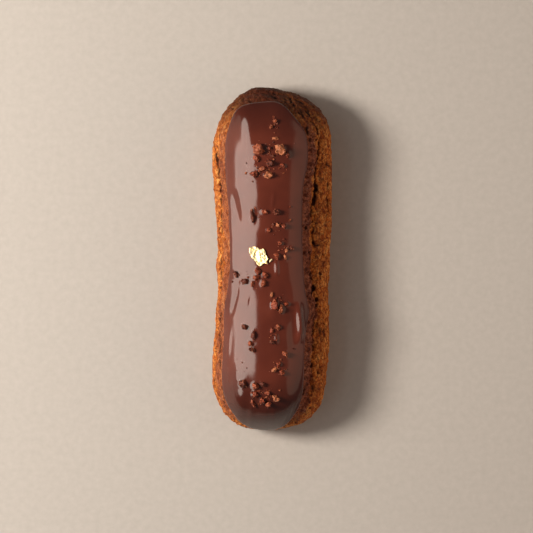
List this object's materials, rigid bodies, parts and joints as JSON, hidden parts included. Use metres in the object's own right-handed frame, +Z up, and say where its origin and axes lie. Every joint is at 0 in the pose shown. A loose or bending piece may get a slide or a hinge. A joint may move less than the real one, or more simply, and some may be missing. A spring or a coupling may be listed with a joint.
{
  "type": "eclair",
  "caption": "Finger-shaped choux pastry with a poured dark chocolate glaze along its top, scattered cocoa nibs and a torn piece of gold leaf.",
  "frame": {"origin": "on the table under the middle of the eclair's box", "axes": "+Z up out of the glaze, +Y along the eclair to its far end, +X to the side where more of the crust shows"},
  "size_m": [0.047, 0.1347, 0.0374],
  "materials": {
    "choux_crust": "golden-brown baked crust, matte with a faint sheen, cracked and pitted, paler along the folds",
    "chocolate_glaze": "mirror-like dark chocolate glaze, softly rippled",
    "cocoa_nibs": "broken roasted cocoa bean, semi-matte, reddish brown with paler edges",
    "gold_leaf": "crumpled beaten gold leaf, bright metallic"
  },
  "bodies": {
    "root": {"choux_pastry": "choux_crust", "chocolate_glaze": "chocolate_glaze", "cocoa_nib_01": "cocoa_nibs", "cocoa_nib_02": "cocoa_nibs", "cocoa_nib_03": "cocoa_nibs", "cocoa_nib_04": "cocoa_nibs", "cocoa_nib_05": "cocoa_nibs", "cocoa_nib_06": "cocoa_nibs", "cocoa_nib_07": "cocoa_nibs", "cocoa_nib_08": "cocoa_nibs", "cocoa_nib_09": "cocoa_nibs", "cocoa_nib_10": "cocoa_nibs", "cocoa_nib_11": "cocoa_nibs", "cocoa_nib_12": "cocoa_nibs", "cocoa_nib_13": "cocoa_nibs", "cocoa_nib_14": "cocoa_nibs", "cocoa_nib_15": "cocoa_nibs", "cocoa_nib_16": "cocoa_nibs", "cocoa_nib_17": "cocoa_nibs", "cocoa_nib_18": "cocoa_nibs", "cocoa_nib_19": "cocoa_nibs", "cocoa_nib_20": "cocoa_nibs", "cocoa_nib_21": "cocoa_nibs", "cocoa_nib_22": "cocoa_nibs", "cocoa_nib_23": "cocoa_nibs", "cocoa_nib_24": "cocoa_nibs", "cocoa_nib_25": "cocoa_nibs", "cocoa_nib_26": "cocoa_nibs", "cocoa_nib_27": "cocoa_nibs", "cocoa_nib_28": "cocoa_nibs", "cocoa_nib_29": "cocoa_nibs", "cocoa_nib_30": "cocoa_nibs", "cocoa_nib_31": "cocoa_nibs", "cocoa_nib_32": "cocoa_nibs", "cocoa_nib_33": "cocoa_nibs", "cocoa_nib_34": "cocoa_nibs", "cocoa_nib_35": "cocoa_nibs", "cocoa_nib_36": "cocoa_nibs", "cocoa_nib_37": "cocoa_nibs", "cocoa_nib_38": "cocoa_nibs", "cocoa_nib_39": "cocoa_nibs", "cocoa_nib_40": "cocoa_nibs", "cocoa_nib_41": "cocoa_nibs", "cocoa_nib_42": "cocoa_nibs", "cocoa_nib_43": "cocoa_nibs", "cocoa_nib_44": "cocoa_nibs", "cocoa_nib_45": "cocoa_nibs", "cocoa_nib_46": "cocoa_nibs", "cocoa_nib_47": "cocoa_nibs", "cocoa_nib_48": "cocoa_nibs", "cocoa_nib_49": "cocoa_nibs", "cocoa_nib_50": "cocoa_nibs", "cocoa_nib_51": "cocoa_nibs", "cocoa_nib_52": "cocoa_nibs", "cocoa_nib_53": "cocoa_nibs", "cocoa_nib_54": "cocoa_nibs", "cocoa_nib_55": "cocoa_nibs", "cocoa_nib_56": "cocoa_nibs", "gold_leaf": "gold_leaf", "gold_leaf_fleck": "gold_leaf"}
  },
  "joints": []
}
